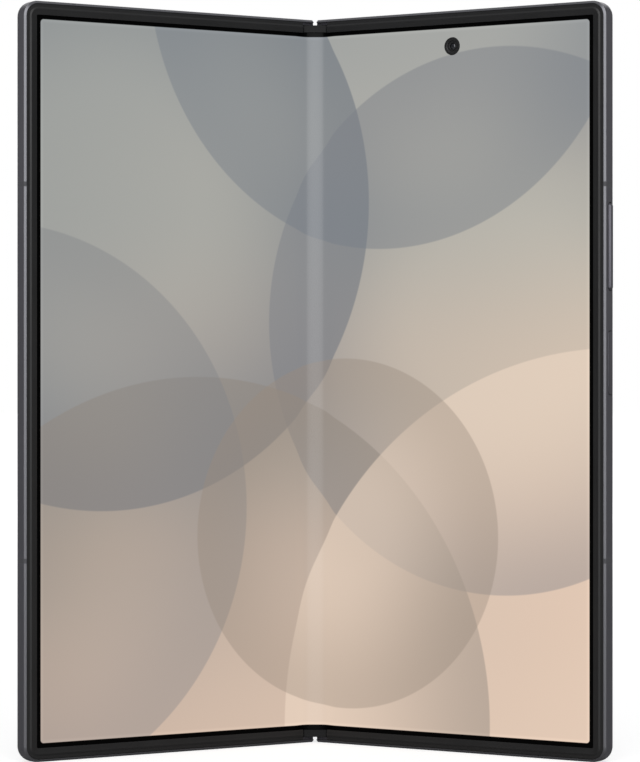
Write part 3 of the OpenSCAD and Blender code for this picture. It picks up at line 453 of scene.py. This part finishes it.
# %% [markdown]
# ## The screen's surface
# Around the picture the panel is black, with rounded corners. How far a point lies outside a
# rounded rectangle is a short sum: fold the plane into one quarter, then measure from the
# centre of the corner's arc. Above the panel lies a thin protective film: clear, glossy and
# coated against reflections, so its own shine is low. What it does scatter, it scatters softly,
# and that soft haze, given by the coat, is what shows the bend as a pale band. The haze is
# strongest along the fold, where the film is stretched most, and it is kept off the black.

# %% Finish of the screen
# All of these are millimetres, apart from the levels.
LIT_HALF_W, LIT_HALF_H, LIT_CORNER = 67.8, 75.35, 0.7
LIT_MIDDLE = 79.26                  # height of the middle of the lit area
LIT_STEP = 0.06                     # half of the step from lit to black
LINE_START, LINE_END, LINE_LEVEL = -0.75, -0.3, 1.10    # the lit area's brighter outer line
WAVE, WAVE_DEEP, WAVE_STRENGTH = 9, 0.012, 0.3          # slow waves in the film
HAZE_START, HAZE_END = 0.2, 3.4                         # distances from the fold
HAZE_FOLD, HAZE_FLAT, HAZE_BORDER = 1.0, 0.35, 0.12     # how much haze there is


def outside_of_picture(tree, point):
    """Distance in millimetres outside the lit area; negative inside."""
    folded = add(tree, "VectorMath", {0: point, 1: (0, LIT_MIDDLE, 0)},
                 operation="SUBTRACT")
    quarter = add(tree, "VectorMath", {0: folded.outputs[0]}, operation="ABSOLUTE")
    from_arc = add(tree, "VectorMath", {0: quarter.outputs[0],
                                        1: (LIT_HALF_W - LIT_CORNER, LIT_HALF_H - LIT_CORNER, 0)},
                   operation="SUBTRACT")
    beyond = add(tree, "VectorMath", {0: from_arc.outputs[0], 1: (0, 0, 0)},
                 operation="MAXIMUM")
    far = add(tree, "VectorMath", {0: beyond.outputs[0]}, operation="LENGTH")
    axes = add(tree, "SeparateXYZ", {0: from_arc.outputs[0]})
    largest = add(tree, "Math", {0: axes.outputs[0], 1: axes.outputs[1]}, operation="MAXIMUM")
    inner = add(tree, "Math", {0: largest.outputs[0], 1: 0.0}, operation="MINIMUM")
    total = add(tree, "Math", {0: far.outputs["Value"], 1: inner.outputs[0]}, operation="ADD")
    return add(tree, "Math", {0: total.outputs[0], 1: LIT_CORNER},
               operation="SUBTRACT").outputs[0]


def over_the_edge(tree, outside, lit, black):
    """One value on the lit area and another on the black border."""
    return add(tree, "MapRange", {"Value": outside, "From Min": -LIT_STEP, "From Max": LIT_STEP,
                                  "To Min": lit, "To Max": black}).outputs[0]


film = bpy.data.materials.new("coated_film_over_lit_panel")
tree = empty_tree(film)
flat = add(tree, "UVMap", uv_map="unrolled").outputs[0]
size = SHEET / MM
point = add(tree, "Mapping", {"Vector": flat, "Scale": (size, size, 1),
                              "Location": (-size / 2, 0, 0)}).outputs[0]
axes = add(tree, "SeparateXYZ", {0: point}).outputs
height = add(tree, "Math", {0: axes[1], 1: PHONE_H / MM}, operation="DIVIDE").outputs[0]
across = add(tree, "MapRange", {"Value": axes[0], "From Min": -HALF_W / MM,
                                "From Max": HALF_W / MM}).outputs[0]
picture = add(tree, "Mix", {0: across, COLOUR_A: ramp(tree, height, LEFT),
                            COLOUR_B: ramp(tree, height, RIGHT)},
              data_type="RGBA").outputs[COLOUR_OUT]
for disc in DISCS:
    picture = shade(tree, picture, point, disc)
outside = outside_of_picture(tree, point)
lit = over_the_edge(tree, outside, 1.0, 0.0)
line = add(tree, "MapRange", {"Value": outside, "From Min": LINE_START, "From Max": LINE_END,
                              "To Min": 1.0, "To Max": LINE_LEVEL}).outputs[0]
level = add(tree, "Math", {0: lit, 1: line}, operation="MULTIPLY").outputs[0]
shown = add(tree, "VectorMath", {0: picture, "Scale": level}, operation="SCALE").outputs[0]
waves = add(tree, "TexNoise", {"Vector": point, "Scale": 1 / WAVE, "Detail": 1.0})
ripple = add(tree, "Bump", {"Height": waves.outputs[0], "Distance": WAVE_DEEP * MM,
                            "Strength": WAVE_STRENGTH})
from_fold = add(tree, "Math", {0: axes[0]}, operation="ABSOLUTE").outputs[0]
haze = add(tree, "MapRange", {"Value": from_fold, "From Min": HAZE_START, "From Max": HAZE_END,
                              "To Min": HAZE_FOLD, "To Max": HAZE_FLAT},
           interpolation_type="SMOOTHSTEP").outputs[0]
haze = add(tree, "Math", {0: haze, 1: over_the_edge(tree, outside, 1.0, HAZE_BORDER)},
           operation="MULTIPLY").outputs[0]
shader = add(tree, "BsdfPrincipled", {"Base Color": linear("#020202"), "Roughness": 0.07,
                                      "Specular IOR Level": 0.02, "Coat Weight": haze,
                                      "Coat Roughness": 0.36, "Emission Color": shown,
                                      "Emission Strength": 1.0, "Normal": ripple.outputs[0]})
add(tree, "OutputMaterial", {"Surface": shader.outputs[0]})
print("the screen's finish has", len(tree.nodes), "nodes")

# %% [markdown]
# ## The bending screen
# The real screen is one sheet of plastic film and thin glass on a steel plate that is etched
# into a lattice where it bends. Here each half of it is a piece that starts at the fold and
# follows its half of the phone, bent as the phone stands.
# It starts as a grid on the flat half. The grid is finer near the fold, because only there does
# it bend. The hole for the camera is one cell of the grid: its edges are subdivided, its
# face is inset, and the new edge is pulled onto a circle.

# %% A helper that turns a shape into a piece of the phone
NEAR_ZERO, SAME_PLACE = 1e-7, 1e-6      # m


def piece(mesh, name, body, material, smooth=38):
    """Makes an object of a bmesh, smooth where faces meet at less than that angle."""
    bmesh.ops.recalc_face_normals(mesh, faces=mesh.faces)
    data = bpy.data.meshes.new(name)
    mesh.to_mesh(data)
    mesh.free()
    data.materials.append(material)
    data.shade_smooth()
    data.set_sharp_from_angle(angle=math.radians(smooth))
    made = bpy.data.objects.new(name, data)
    scene.collection.objects.link(made)
    if body:
        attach(made, body)
    print(name, "has", len(data.polygons), "faces")
    return made


print("points closer than", SAME_PLACE / MM, "mm are merged")

# %% The sheet, flat and with its hole
BEND, BEND_STEPS = 5.5 * MM, 22                     # each half of the sheet bends this far out
SHEET_OUT, SHEET_T = 70.6 * MM, 0.4 * MM
SHEET_LOW, SHEET_HIGH = 2.8 * MM, 155.6 * MM
HOLE = Vector((34.9 * MM, SCREEN_DEEP, 150.8 * MM))
HOLE_R, HOLE_CELL, HOLE_INSET = 1.95 * MM, 3.0 * MM, 0.5 * MM
HOLE_CUTS = 15


def cut_lines(mesh, axis, places):
    """Cuts the sheet along lines that cross that axis at those places."""
    normal = Vector((1, 0, 0)) if axis == "u" else Vector((0, 0, 1))
    for at in places:
        everything = mesh.verts[:] + mesh.edges[:] + mesh.faces[:]
        bmesh.ops.bisect_plane(mesh, geom=everything, plane_co=normal * at, plane_no=normal,
                               dist=NEAR_ZERO)


def cell_at_hole(mesh):
    """The face whose middle is closest to the middle of the hole."""
    return min(mesh.faces, key=lambda face: (face.calc_center_median() - HOLE).length)


def flat_sheet(with_hole):
    """One half of the screen, flat, as a single layer."""
    mesh = bmesh.new()
    bmesh.ops.create_grid(mesh, x_segments=1, y_segments=1, size=0.5)
    bmesh.ops.rotate(mesh, verts=mesh.verts, matrix=Matrix.Rotation(math.pi / 2, 3, "X"))
    bmesh.ops.scale(mesh, verts=mesh.verts, vec=(SHEET_OUT, 1, SHEET_HIGH - SHEET_LOW))
    bmesh.ops.translate(mesh, verts=mesh.verts,
                        vec=(SHEET_OUT / 2, SCREEN_DEEP, (SHEET_LOW + SHEET_HIGH) / 2))
    bends = [BEND * step / BEND_STEPS for step in range(1, BEND_STEPS + 1)]
    cut_lines(mesh, "u", bends + [HOLE.x - HOLE_CELL, HOLE.x + HOLE_CELL])
    cut_lines(mesh, "z", [HOLE.z - HOLE_CELL, HOLE.z + HOLE_CELL])
    if with_hole:
        bmesh.ops.subdivide_edges(mesh, edges=cell_at_hole(mesh).edges[:], cuts=HOLE_CUTS)
        bmesh.ops.inset_region(mesh, faces=[cell_at_hole(mesh)], thickness=HOLE_INSET)
        cell = cell_at_hole(mesh)
        for vert in cell.verts:
            vert.co = HOLE + (vert.co - HOLE).normalized() * HOLE_R
        bmesh.ops.delete(mesh, geom=[cell], context="FACES_ONLY")
    return mesh


print("the sheet reaches", round(SHEET_OUT / MM, 1), "mm from the fold")

# %% [markdown]
# The flat layout is written down as the UV map before the sheet is bent, so the picture knows
# where each point lies on the unrolled screen. Then each column of points near the fold is
# turned about the hinge axis by its share of the half's turn. The share grows smoothly from
# 0 at the fold to 1 where the flat panel starts, which is also how the frame bends the sheet.
# The back of the sheet is etched thinner there, so that the folded loop clears the hinge arms.

# %% Thicken, bend and place the sheets on the phone
ETCHED, ETCHED_SHARE = 0.15 * MM, 0.8       # how much is etched off, and on how much of the bend


def screen(side):
    """One half of the bending screen."""
    sign = 1 if side == "rear" else -1
    mesh = flat_sheet(with_hole=side == "rear")
    layer = mesh.loops.layers.uv.new("unrolled")
    grown = bmesh.ops.extrude_face_region(mesh, geom=mesh.faces[:], use_keep_orig=True)
    moved = [g for g in grown["geom"] if isinstance(g, bmesh.types.BMVert)]
    bmesh.ops.translate(mesh, verts=moved, vec=(0, SHEET_T, 0))
    bending = [vert for vert in moved if vert.co.x < ETCHED_SHARE * BEND]
    bmesh.ops.translate(mesh, verts=bending, vec=(0, -ETCHED, 0))
    for face in mesh.faces:
        for corner in face.loops:
            flat = corner.vert.co
            corner[layer].uv = (0.5 + sign * flat.x / SHEET, flat.z / SHEET)
    columns = {}
    for vert in mesh.verts:
        columns.setdefault(round(vert.co.x, 6), []).append(vert)
    for u, verts in columns.items():
        t = min(1.0, u / BEND)
        turn = Matrix.Rotation(-FOLD * t * t * (3 - 2 * t), 3, "Z")
        bmesh.ops.rotate(mesh, verts=verts, cent=FLAT_AXIS, matrix=turn)
    bmesh.ops.translate(mesh, verts=mesh.verts, vec=AXIS - FLAT_AXIS)
    if side == "front":
        bmesh.ops.scale(mesh, verts=mesh.verts, vec=(-1, 1, 1))
        bmesh.ops.reverse_faces(mesh, faces=mesh.faces)
    made = piece(mesh, side + "_screen", None, film)
    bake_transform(made)
    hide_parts("display_fold", side + "_display")


for side in SIDES:
    screen(side)

# %% [markdown]
# ## The soft bezel
# A strip of soft plastic hides the edge of the bending screen and keeps the two halves apart
# when the phone is shut. Its raised lip has a slope on the outside, which catches the light as
# one thin line. A strip like that is one outline pushed along a path, so it is made that way:
# the section is a face with rounded corners, extruded along the straight sides and spun round
# the corners of the phone.

# %% A helper for sections with rounded corners
ROUNDING_STEPS = 5


def section(mesh, points, across):
    """A flat face; each point is (distance, depth, rounding) in mm, and across is the direction
    of the distance. Depth runs from the screen to the back."""
    verts = [mesh.verts.new(across * (far * MM) + Vector((0, deep * MM, 0)))
             for far, deep, rounding in points]
    mesh.faces.new(verts)
    for vert, (far, deep, rounding) in zip(verts, points):
        if rounding:
            bmesh.ops.bevel(mesh, geom=[vert], affect="VERTICES", offset=rounding * MM,
                            segments=ROUNDING_STEPS, profile=0.5, material=-1)
    return mesh.faces[:]


print("a rounded corner has", ROUNDING_STEPS, "steps")

# %% The bezel of each half
CORNER, CORNER_STEPS = 3.2 * MM, 14
BEZEL_START = 3.5 * MM              # how far from the fold it begins
# each point is the distance from the outer edge, the depth and the rounding, in mm
BEZEL_SECTION = ((0.63, 0.60, 0), (0.63, 0.04, 0.03), (1.25, 0.05, 0.06), (1.66, -0.14, 0.12),
                 (1.98, -0.07, 0.20), (2.9, 0.0, 0.04), (2.9, 0.10, 0), (0.95, 0.10, 0),
                 (0.95, 0.60, 0))


def push(mesh, faces, by):
    """Extrudes faces and moves the new ones; returns them. The edges go in with the faces, so
    that a face which ends up inside is taken away."""
    edges = list({edge for face in faces for edge in face.edges})
    grown = bmesh.ops.extrude_face_region(mesh, geom=faces + edges)["geom"]
    bmesh.ops.translate(mesh, verts=[g for g in grown if isinstance(g, bmesh.types.BMVert)],
                        vec=by)
    return [g for g in grown if isinstance(g, bmesh.types.BMFace)]


def bezel(side):
    """The bezel round three sides of one half."""
    mesh = bmesh.new()
    end = section(mesh, BEZEL_SECTION, Vector((0, 0, 1)))
    bmesh.ops.translate(mesh, verts=mesh.verts, vec=(BEZEL_START, 0, 0))
    along = HALF_W - CORNER - BEZEL_START
    for step, centre_z in ((Vector((along, 0, 0)), CORNER),
                           (Vector((0, 0, PHONE_H - 2 * CORNER)), PHONE_H - CORNER)):
        end = push(mesh, end, step)
        rim = list({v for f in end for v in f.verts}) + list({e for f in end for e in f.edges})
        turned = bmesh.ops.spin(mesh, geom=rim + end, cent=(HALF_W - CORNER, 0, centre_z),
                                axis=(0, -1, 0), angle=math.pi / 2, steps=CORNER_STEPS)
        end = [g for g in turned["geom_last"] if isinstance(g, bmesh.types.BMFace)]
    push(mesh, end, Vector((-along, 0, 0)))
    bmesh.ops.transform(mesh, verts=mesh.verts, matrix=SIDES[side])
    made = piece(mesh, side + "_bezel_strip", side + "_half", made_of["bezel_rubber"],
                 smooth=30)
    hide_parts(side + "_bezel")


for side in SIDES:
    bezel(side)

# %% [markdown]
# ## The selfie camera
# Behind the hole in the screen sits a small camera: a black tube with stepped rings that keep
# stray light away, and a domed lens at its bottom. Turned parts are one outline spun about
# their axis. The outline is a face first, so that its corners can be rounded, and only its
# edges are spun. Edges on the axis itself are left out, and the pole is merged.

# %% A helper for turned parts
TURN_STEPS = 72


def turn_part(mesh, points, u, z):
    """Spins an outline of (radius, depth, rounding) about an axis through u and z."""
    shape = bmesh.new()
    faces = section(shape, points, Vector((1, 0, 0)))
    bmesh.ops.delete(shape, geom=faces, context="FACES_ONLY")
    on_axis = [e for e in shape.edges if max(abs(v.co.x) for v in e.verts) < NEAR_ZERO]
    bmesh.ops.delete(shape, geom=on_axis, context="EDGES")
    bmesh.ops.spin(shape, geom=shape.verts[:] + shape.edges[:], cent=(0, 0, 0),
                   axis=(0, 1, 0), angle=math.tau, steps=TURN_STEPS, use_merge=True)
    bmesh.ops.remove_doubles(shape, verts=shape.verts, dist=SAME_PLACE)
    bmesh.ops.translate(shape, verts=shape.verts, vec=(u, 0, z))
    data = bpy.data.meshes.new("turned")
    shape.to_mesh(data)
    shape.free()
    mesh.from_mesh(data)
    bpy.data.meshes.remove(data)


def turned_piece(name, points, places, slot, *nodes):
    """One piece of the rear half, made of an outline spun at each of those places."""
    mesh = bmesh.new()
    for u, z in places:
        turn_part(mesh, points, u, z)
    bmesh.ops.transform(mesh, verts=mesh.verts, matrix=REAR)
    made = piece(mesh, name, "rear_half", made_of[slot])
    if nodes:
        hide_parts(*nodes)


print("a turned part has", TURN_STEPS, "sides")

# %% Selfie camera: rings and lens
# outlines are radius, depth and rounding in mm
SELFIE = [(HOLE.x, HOLE.z)]
SELFIE_RINGS = ((0, 0.52, 0), (0.62, 0.52, 0), (0.66, 0.30, 0.02), (0.86, 0.26, 0.02),
                (0.92, 0.38, 0.02), (1.12, 0.38, 0.02), (1.20, 0.20, 0.02), (1.40, 0.14, 0.03),
                (1.9, 0.14, 0.04), (1.9, 0.46, 0), (1.8, 0.46, 0), (1.8, 0.64, 0), (0, 0.64, 0))
SELFIE_DOME = ((0, 0.36, 0), (0.34, 0.40, 0.10), (0.60, 0.50, 0), (0, 0.50, 0))
turned_piece("selfie_rings", SELFIE_RINGS, SELFIE, "camera_housing", "selfie_lens")
turned_piece("selfie_dome", SELFIE_DOME, SELFIE, "lens_glass")

# %% [markdown]
# ## The keys
# The keys are milled from the same aluminium as the rail. Seen from the side they are long
# pills. A pill is a rectangle whose four corners are bevelled by a hair less than half its
# width; extruded, and with the edge of its outer face bevelled again, it becomes the key.
# The side key's edge is rounded. The volume key's is one flat cut, which draws a light line down
# the key, and its outer face is then widened a little, so that the cut is steep.

# %% A helper for pills
PILL_STEPS, PILL_GAP = 12, 0.01 * MM


def pill(wide, tall, thick, edge, rounds=5):
    """A pill, wide along x and tall along z, whose bevelled outer face is at y = 0."""
    mesh = bmesh.new()
    bmesh.ops.create_grid(mesh, x_segments=1, y_segments=1, size=0.5)
    bmesh.ops.rotate(mesh, verts=mesh.verts, matrix=Matrix.Rotation(math.pi / 2, 3, "X"))
    bmesh.ops.scale(mesh, verts=mesh.verts, vec=(wide, 1, tall))
    bmesh.ops.bevel(mesh, geom=mesh.verts[:], affect="VERTICES", offset=wide / 2 - PILL_GAP,
                    segments=PILL_STEPS, profile=0.5, material=-1)
    bmesh.ops.remove_doubles(mesh, verts=mesh.verts, dist=SAME_PLACE)
    bmesh.ops.translate(mesh, verts=mesh.verts, vec=(0, -thick, 0))
    outer = push(mesh, mesh.faces[:], Vector((0, thick, 0)))
    bmesh.ops.bevel(mesh, geom=outer[0].edges[:], affect="EDGES", offset=edge,
                    segments=rounds, profile=0.5, material=-1)
    return mesh


print("each end of a pill has", 2 * PILL_STEPS, "steps")

# %% The volume key and the side key
KEY_V, KEY_DEEP = 2.28, 0.9     # mm behind the screen side, and into the wall
# node, body, height of its middle, length, width, how far it stands out, edge (all mm), steps
# of the edge, and how much the outer face is widened
KEYS = (("volume_key", "volume_rocker", 107.25, 18.3, 1.5, 0.36, 0.45, 1, 1.5),
        ("side_key", "side_button", 83.05, 13.3, 1.8, 0.05, 0.14, 5, 1.0))
for node, body, z, tall, wide, proud, edge, rounds, flare in KEYS:
    mesh = pill(wide * MM, tall * MM, (KEY_DEEP + proud) * MM, edge * MM, rounds)
    face = [v for v in mesh.verts if abs(v.co.y) < NEAR_ZERO]
    bmesh.ops.scale(mesh, verts=face, vec=(flare, 1, 1))
    outward = Matrix.Rotation(-math.pi / 2, 4, "Z")
    place = Matrix.Translation((HALF_W + proud * MM, KEY_V * MM, z * MM)) @ outward
    bmesh.ops.transform(mesh, verts=mesh.verts, matrix=REAR @ place)
    made = piece(mesh, node + "_cap", body, rail["rear"])
    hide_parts(node)

# %% [markdown]
# ## The cameras on the back
# The camera island is a raised pill of the same metal, with three lenses in bright rings.
# Each lens window is a disc of glass, black printed at its rim, with the stepped barrel of
# the camera under it; here the steps are turned into the disc itself, as they look through
# the glass. The flash has the fine circular grooves of a Fresnel lens.

# %% The island
ISLAND_U, ISLAND_V, ISLAND_Z = 58.3 * MM, 5.7 * MM, 128.7 * MM      # middle of its outer face
mesh = pill(wide=20.6 * MM, tall=54 * MM, thick=2.1 * MM, edge=0.55 * MM)
place = Matrix.Translation((ISLAND_U, ISLAND_V, ISLAND_Z))
bmesh.ops.transform(mesh, verts=mesh.verts, matrix=REAR @ place)
made = piece(mesh, "island_body", "rear_half", rail["rear"])
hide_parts("camera_island")

# %% Rings, lenses and flash
# outlines are radius, depth and rounding in mm
PITCH = 16.8 * MM                   # from lens to lens
CAMERAS = [(ISLAND_U, ISLAND_Z + step * PITCH) for step in (-1, 0, 1)]
LENS_RING = ((5.85, 5.6, 0), (7.3, 5.6, 0), (7.3, 6.6, 0.22), (5.85, 6.6, 0.12))
LENS_WINDOW = ((0, 5.4, 0), (5.8, 5.4, 0), (5.8, 6.45, 0.05), (4.3, 6.45, 0.05),
               (4.1, 6.2, 0.05), (3.4, 6.1, 0.05), (3.3, 5.85, 0.05), (2.5, 5.78, 0.05),
               (2.4, 5.66, 0.1), (1.3, 5.92, 0.5), (0, 6.0, 0))
turned_piece("lens_rings", LENS_RING, CAMERAS, slots["camera_rings"], "camera_rings")
turned_piece("lens_windows", LENS_WINDOW, CAMERAS, slots["camera_lenses"], "camera_lenses")
FLASH = [(44.5 * MM, ISLAND_Z + PITCH)]
GROOVES, GROOVE_SLANT = (1.7, 1.35, 1.0, 0.65), 0.05        # radii, and the width of their walls
grooves = [point for radius in GROOVES
           for point in ((radius, 4.17, 0), (radius - GROOVE_SLANT, 4.09, 0))]
FLASH_LENS = ((0, 3.6, 0), (2.2, 3.6, 0), (2.2, 4.18, 0.06), *grooves, (0.3, 4.17, 0),
              (0, 4.19, 0))
turned_piece("flash_lens", FLASH_LENS, FLASH, slots["flash_window"], "flash_window")

# %% [markdown]
# ## The size
# Looks must not change how big the phone is, so the box of what is shown is printed beside the
# box of the CAD solids.

# %% Size
now_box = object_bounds()
boxes = {"cad": cad_box, "visual": now_box}
for name, (low, high) in boxes.items():
    print(name, "size in mm:", [round((b - a) / MM, 2) for a, b in zip(low, high)])
